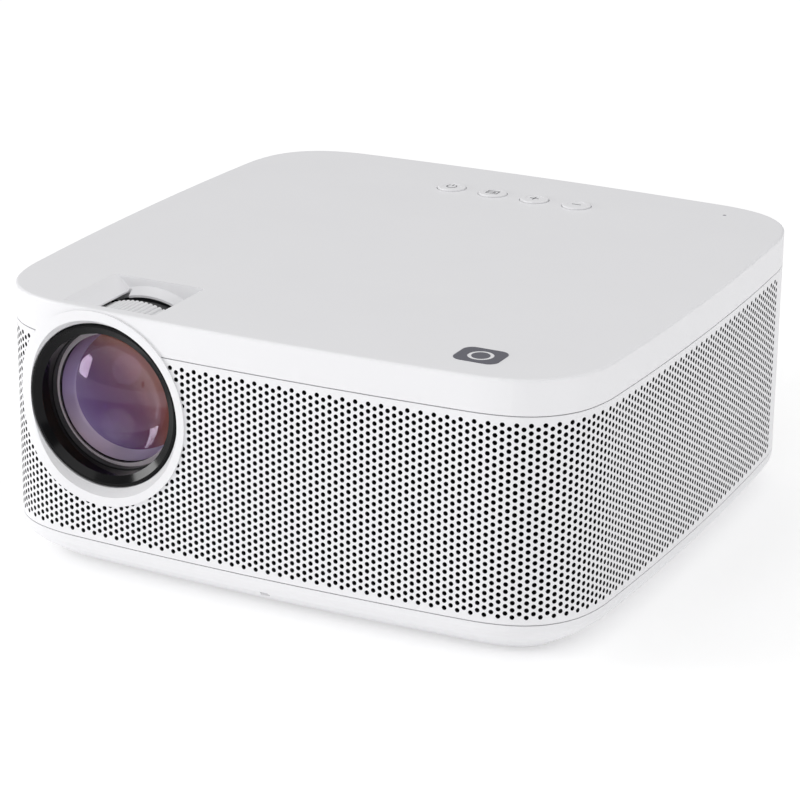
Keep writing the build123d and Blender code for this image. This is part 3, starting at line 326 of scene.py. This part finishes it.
def grille_piece(name, first, last, extra_left, extra_right):
    """Columns first..last, each a stack of cells with a round hole, closed front and back, and plain bands above, below and beyond."""
    verts, faces, index, bores = [], [], {}, []

    def vert(key, u, z, off):
        if key not in index:
            x, y, _, _ = outline(u, off)
            index[key] = len(verts)
            verts.append((x, y, z))
        return index[key]

    def wall(a, b):
        """Two grid points joined front to back."""
        faces.append((vert(("f",) + a, *pos[a], 0.0), vert(("f",) + b, *pos[b], 0.0),
                      vert(("b",) + b, *pos[b], -GT), vert(("b",) + a, *pos[a], -GT)))

    pos = {}

    def g(ix, iz):
        """Grid point: ix counts column edges, iz counts half pitches, or lo/hi for the band's edges."""
        k = (ix, iz)
        if k not in pos:
            z = Z_LO if iz == "lo" else Z_HI if iz == "hi" else level(iz / 2.0)
            u = ix if isinstance(ix, float) else col_u(ix - 0.5)
            pos[k] = (u, z)
        return k

    def both(loop):
        faces.append(tuple(vert(("f",) + k, *pos[k], 0.0) for k in loop))
        faces.append(tuple(vert(("b",) + k, *pos[k], -GT) for k in reversed(loop)))

    def cell(i, c):
        """Cell of column i centred at half pitch c."""
        uc, zc = col_u(i), level(c / 2.0)
        loop = [g(i + 1, c), g(i + 1, c + 1), g(i, c + 1), g(i, c), g(i, c - 1), g(i + 1, c - 1)]
        fv = [vert(("f",) + k, *pos[k], 0.0) for k in loop]
        bv = [vert(("b",) + k, *pos[k], -GT) for k in loop]
        fc, bc = [], []
        for n in range(12):
            a = math.radians(30 * n)
            u, z = uc + HR * math.cos(a), zc + HR * math.sin(a)
            fc.append(vert(("cf", i, c, n), u, z, 0.0))
            bc.append(vert(("cb", i, c, n), u, z, -GT))
        for n in range(6):
            m = (n + 1) % 6
            faces.append((fv[n], fv[m], fc[(2 * n + 2) % 12], fc[2 * n + 1]))
            faces.append((fv[n], fc[2 * n + 1], fc[2 * n]))
            faces.append((bv[m], bv[n], bc[2 * n + 1], bc[(2 * n + 2) % 12]))
            faces.append((bv[n], bc[2 * n], bc[2 * n + 1]))
        for n in range(12):
            m = (n + 1) % 12
            bores.append(len(faces))
            faces.append((fc[n], fc[m], bc[m], bc[n]))

    for i in range(first, last + 1):
        centres = [2 * z for z in range(10, -17, -1)] if i % 2 == 0 else [2 * z + 1 for z in range(9, -17, -1)]
        top, low = centres[0] + 1, centres[-1] - 1
        for c in centres:
            x, y, nx, ny = outline(col_u(i))
            zc = level(c / 2.0)
            if y < -80 and math.hypot(x - LX, zc - LZ) < 35.0:
                far = max(math.hypot(x + sx * COL / 2 - LX, zc + sz * P / 2 - LZ) for sx in (-1, 1) for sz in (-1, 1))
                if far < 34.4:
                    continue
                if math.hypot(x - LX, zc - LZ) < 34.8 - HR * 0.2:
                    both([g(i, c - 1), g(i + 1, c - 1), g(i + 1, c), g(i + 1, c + 1), g(i, c + 1), g(i, c)])
                    continue
            cell(i, c)
        x = outline(col_u(i))[0]
        hidden = outline(col_u(i))[1] < -80 and abs(x - LX) < 26.0
        # bands above and below, with a point at each half pitch that the next column uses
        tl = [g(i, t) for t in range(top, 22)]
        tr = [g(i + 1, t) for t in range(top, 22)]
        if not hidden:
            both([tl[0], tr[0]] + tr[1:] + [g(i + 1, "hi"), g(i, "hi")] + tl[:0:-1])
            wall(g(i, "hi"), g(i + 1, "hi"))
        ll = [g(i, t) for t in range(low, -34, -1)]
        lr = [g(i + 1, t) for t in range(low, -34, -1)]
        both([g(i, "lo"), g(i + 1, "lo")] + lr[::-1] + ll)
        wall(g(i + 1, "lo"), g(i, "lo"))
    # plain strips beyond the last columns
    for edge, sign, extra in ((last + 1, 1, extra_right), (first, -1, extra_left)):
        stack = [g(edge, t) for t in range(-33, 22)]
        if extra:
            u0, u1 = col_u(edge - 0.5), sign * U_END
            n = max(2, int(abs(u1 - u0) / 2.3))
            prev_lo, prev_hi, prev = g(edge, "lo"), g(edge, "hi"), stack
            for s in range(1, n + 1):
                u = float(u0 + (u1 - u0) * s / n)
                lo, hi = g(u, "lo"), g(u, "hi")
                loop = [prev_lo] + ([] if prev is None else prev) + [prev_hi, hi, lo]
                both(loop[::-1] if sign > 0 else loop)
                wall(hi, prev_hi) if sign < 0 else wall(prev_hi, hi)
                wall(prev_lo, lo) if sign < 0 else wall(lo, prev_lo)
                prev_lo, prev_hi, prev = lo, hi, None
            wall(prev_hi, prev_lo) if sign > 0 else wall(prev_lo, prev_hi)
    ob = piece(name, verts, faces, M["white_shell"], sharp=40.0)
    # the bore faces of the holes take the near-black hole_wall colour: painted shade inside the holes
    ob.data.materials.append(M["hole_wall"])
    for k in bores:
        ob.data.polygons[k].material_index = 1
    return ob


CUT1, CUT2 = -54, 27
grille_parts = [grille_piece("grille_left", I0, CUT1 - 1, True, False),
                grille_piece("grille_front", CUT1, CUT2 - 1, False, False),
                grille_piece("grille_right", CUT2, I1, False, True)]
for ob in grille_parts:
    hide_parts("grille")

# ------------------------------------------------------------------ optics behind the front glass
AY = Y0


def revolved(name, profile, material, body, steps=96, closed=False):
    """Profile of (depth, radius) turned about the lens axis."""
    verts, faces = [], []
    n = len(profile)
    for s in range(steps):
        a = 2 * math.pi * s / steps
        for d, r in profile:
            verts.append((LX + r * math.cos(a), AY + d, LZ + r * math.sin(a)))
    for s in range(steps):
        t = (s + 1) % steps
        for k in range(n if closed else n - 1):
            m = (k + 1) % n
            faces.append((s * n + k, s * n + m, t * n + m, t * n + k))
    return piece(name, verts, faces, material, body)


centre = (LX * MM, (Y0 + 26) * MM, LZ * MM)
# painted reflection: violet towards the lower left, dark magenta in the middle, orange-brown towards the upper right,
# in the second element's base colour
M["inner_painted_reflection"] = painted_reflection_coat("inner_painted_reflection", [(0.0, (0.17, 0.10, 0.36)), (0.20, (0.12, 0.04, 0.17)), (0.38, (0.15, 0.03, 0.07)),
                                             (0.52, (0.36, 0.13, 0.09)), (1.0, (0.78, 0.42, 0.24))],
                              (0.80, 0.0, 0.60), (centre[0] - 0.003, centre[1], centre[2]), 0.014, rough=0.09, metal=0.0, coat=0.0, specular=0.32)
# painted reflection and highlight: pale violet-white at the bottom of the cone, running through violet and mauve to
# pale orange higher up
M["cell_painted_reflection"] = painted_reflection_coat("cell_painted_reflection", [(0.0, (0.80, 0.74, 0.90)), (0.35, (0.52, 0.44, 0.72)), (0.70, (0.46, 0.33, 0.45)), (1.0, (0.78, 0.56, 0.50))],
                             (0.35, 0.0, 0.94), centre, 0.020, rough=0.25, metal=0.3, coat=0.0)
M["glass_edge"] = surface("glass_edge", (0.93, 0.84, 0.91), rough=0.35, vary=0.05, grain_strength=0.2)


def shell(points, t):
    """A closed wall of thickness t behind an open profile of (depth, radius)."""
    return points + [(d + t, r) for d, r in reversed(points)]


cone = revolved("element_cell", shell([(19.2, 21.4), (21.0, 19.9), (22.8, 18.4), (24.6, 16.9)], 0.5), M["cell_painted_reflection"], "lens_group", closed=True)
prof = [(24.7 + 3.6 * (1 - (r / 17.0) ** 2), r) for r in [17.0 - 16.9 * k / 24 for k in range(25)]]
inner = revolved("second_element", shell(prof, 0.7), M["inner_painted_reflection"], "lens_group", closed=True)
edge = revolved("glass_edge_band", [(14.95, 25.15), (14.12, 24.2), (13.28, 23.2), (13.12, 23.2), (13.95, 24.2), (14.7, 25.15)], M["glass_edge"], "lens_group", closed=True)

# ------------------------------------------------------------------ key icons
def flat(name, polys, z, material, body):
    """Thin inlaid shapes: each polygon becomes a slab 0.05 mm thick."""
    verts, faces = [], []
    for poly in polys:
        b = len(verts)
        n = len(poly)
        verts += [(x, y, z) for x, y in poly] + [(x, y, z - 0.05) for x, y in poly]
        faces.append(tuple(range(b, b + n)))
        faces.append(tuple(range(b + 2 * n - 1, b + n - 1, -1)))
        faces += [(b + k, b + n + k, b + n + (k + 1) % n, b + (k + 1) % n) for k in range(n)]
    ob = piece(name, verts, faces, material, body, smooth=False)
    return ob


def bar(x0, y0, x1, y1, w):
    dx, dy = x1 - x0, y1 - y0
    L = math.hypot(dx, dy)
    nx, ny = -dy / L * w / 2, dx / L * w / 2
    return [(x0 - nx, y0 - ny), (x1 - nx, y1 - ny), (x1 + nx, y1 + ny), (x0 + nx, y0 + ny)]


def arc(cx, cy, r, a0, a1, w, n=18):
    return [bar(cx + r * math.cos(math.radians(a0 + (a1 - a0) * k / n)), cy + r * math.sin(math.radians(a0 + (a1 - a0) * k / n)),
                cx + r * math.cos(math.radians(a0 + (a1 - a0) * (k + 1.05) / n)), cy + r * math.sin(math.radians(a0 + (a1 - a0) * (k + 1.05) / n)), w)
            for k in range(n)]


M["icon_grey"] = surface("icon_grey", (0.16, 0.16, 0.175), rough=0.5, vary=0.08)
BTN_Y = Y0 + 193.7
BX = [2.2 + 17.4 * k for k in (-1.5, -0.5, 0.5, 1.5)]
ICON_Z = 100.16
x = BX[0]
icons = [("power_icon", arc(x, BTN_Y, 1.9, 125, 415, 0.45) + [bar(x, BTN_Y + 0.5, x, BTN_Y + 2.4, 0.45)], "power_button_body")]
x = BX[1]
icons.append(("source_icon", [bar(x - 2.2, BTN_Y + 1.6, x + 2.2, BTN_Y + 1.6, 0.4), bar(x - 2.2, BTN_Y - 1.6, x + 2.2, BTN_Y - 1.6, 0.4),
                              bar(x + 2.2, BTN_Y - 1.8, x + 2.2, BTN_Y + 1.8, 0.4), bar(x - 2.2, BTN_Y - 1.8, x - 2.2, BTN_Y - 0.6, 0.4),
                              bar(x - 2.2, BTN_Y + 0.6, x - 2.2, BTN_Y + 1.8, 0.4), bar(x - 2.6, BTN_Y, x + 0.6, BTN_Y, 0.4),
                              [(x + 0.4, BTN_Y - 0.8), (x + 1.5, BTN_Y), (x + 0.4, BTN_Y + 0.8)]], "source_button_body"))
x = BX[2]
icons.append(("plus_icon", [bar(x - 1.8, BTN_Y, x + 1.8, BTN_Y, 0.45), bar(x, BTN_Y - 1.8, x, BTN_Y + 1.8, 0.45)], "volume_up_button_body"))
x = BX[3]
icons.append(("minus_icon", [bar(x - 1.8, BTN_Y, x + 1.8, BTN_Y, 0.45)], "volume_down_button_body"))
for name, polys, body in icons:
    flat(name, polys, ICON_Z, M["icon_grey"], body)

# ------------------------------------------------------------------ stage, light, camera
def floor_material():
    m, nt, b = new_material("studio_floor")
    v = coords(nt)
    nt.links.new(ramp(nt, noise(nt, v, 3.0), [(0.3, (0.90, 0.90, 0.90)), (0.7, (0.91, 0.91, 0.91))]), b.inputs["Base Color"])
    b.inputs["Roughness"].default_value = 0.9
    b.inputs["Specular IOR Level"].default_value = 0.0
    b.inputs["Emission Color"].default_value = (1.0, 1.0, 1.0, 1.0)
    b.inputs["Emission Strength"].default_value = 0.22
    return m


fm = bpy.data.meshes.new("studio_floor")
fm.from_pydata([(-20, -20, 0), (20, -20, 0), (20, 20, 0), (-20, 20, 0)], [], [(0, 1, 2, 3)])
fm.materials.append(floor_material())
floor = bpy.data.objects.new("studio_floor", fm)
scene.collection.objects.link(floor)

world = bpy.data.worlds.new("studio")
scene.world = world
world.use_nodes = True
wn = world.node_tree
tc = wn.nodes.new("ShaderNodeTexCoord")
sep = wn.nodes.new("ShaderNodeSeparateXYZ")
wn.links.new(tc.outputs["Generated"], sep.inputs["Vector"])
SKY = [(0.0, (0.10, 0.10, 0.10)), (0.18, (0.16, 0.16, 0.165)), (0.50, (1.0, 1.0, 1.0)), (1.0, (1.0, 1.0, 1.0))]
wn.links.new(ramp(wn, sep.outputs["Z"], SKY), wn.nodes["Background"].inputs["Color"])
wn.nodes["Background"].inputs["Strength"].default_value = 0.91


def softbox(name, loc, target, size, power, shape="RECTANGLE", size_y=None, color=(1, 1, 1)):
    li = bpy.data.lights.new(name, "AREA")
    li.shape = shape
    li.size = size
    if size_y:
        li.size_y = size_y
    li.energy = power
    li.color = color
    ob = bpy.data.objects.new(name, li)
    scene.collection.objects.link(ob)
    ob.location = loc
    ob.rotation_euler = (Vector(target) - Vector(loc)).to_track_quat("-Z", "Y").to_euler()
    return ob


softbox("key_left", (-1.80, -1.05, 0.34), (0, 0, 0.05), 0.5, 15.0, size_y=0.62)
softbox("fill_front", (-0.4, -2.5, 1.0), (0, 0, 0.05), 1.5, 8.0, shape="DISK")
softbox("fill_right", (2.4, -0.6, 0.8), (0, 0, 0.05), 1.2, 8.5, shape="DISK")

cam = bpy.data.cameras.new("camera")
cam.lens = 131.1
cam.sensor_width = 36.0
cam.sensor_fit = "HORIZONTAL"
cam.clip_end = 100.0
camera = bpy.data.objects.new("camera", cam)
scene.collection.objects.link(camera)
right = Vector((0.8921, 0.4516, 0.0100))
down = Vector((0.1626, -0.3003, -0.9398))
fwd = Vector((-0.4215, 0.8401, -0.3414))
rot = Matrix((right, -down, -fwd)).transposed()
camera.matrix_world = Matrix.Translation((0.4433, -0.8919, 0.4047)) @ rot.to_4x4()
scene.camera = camera
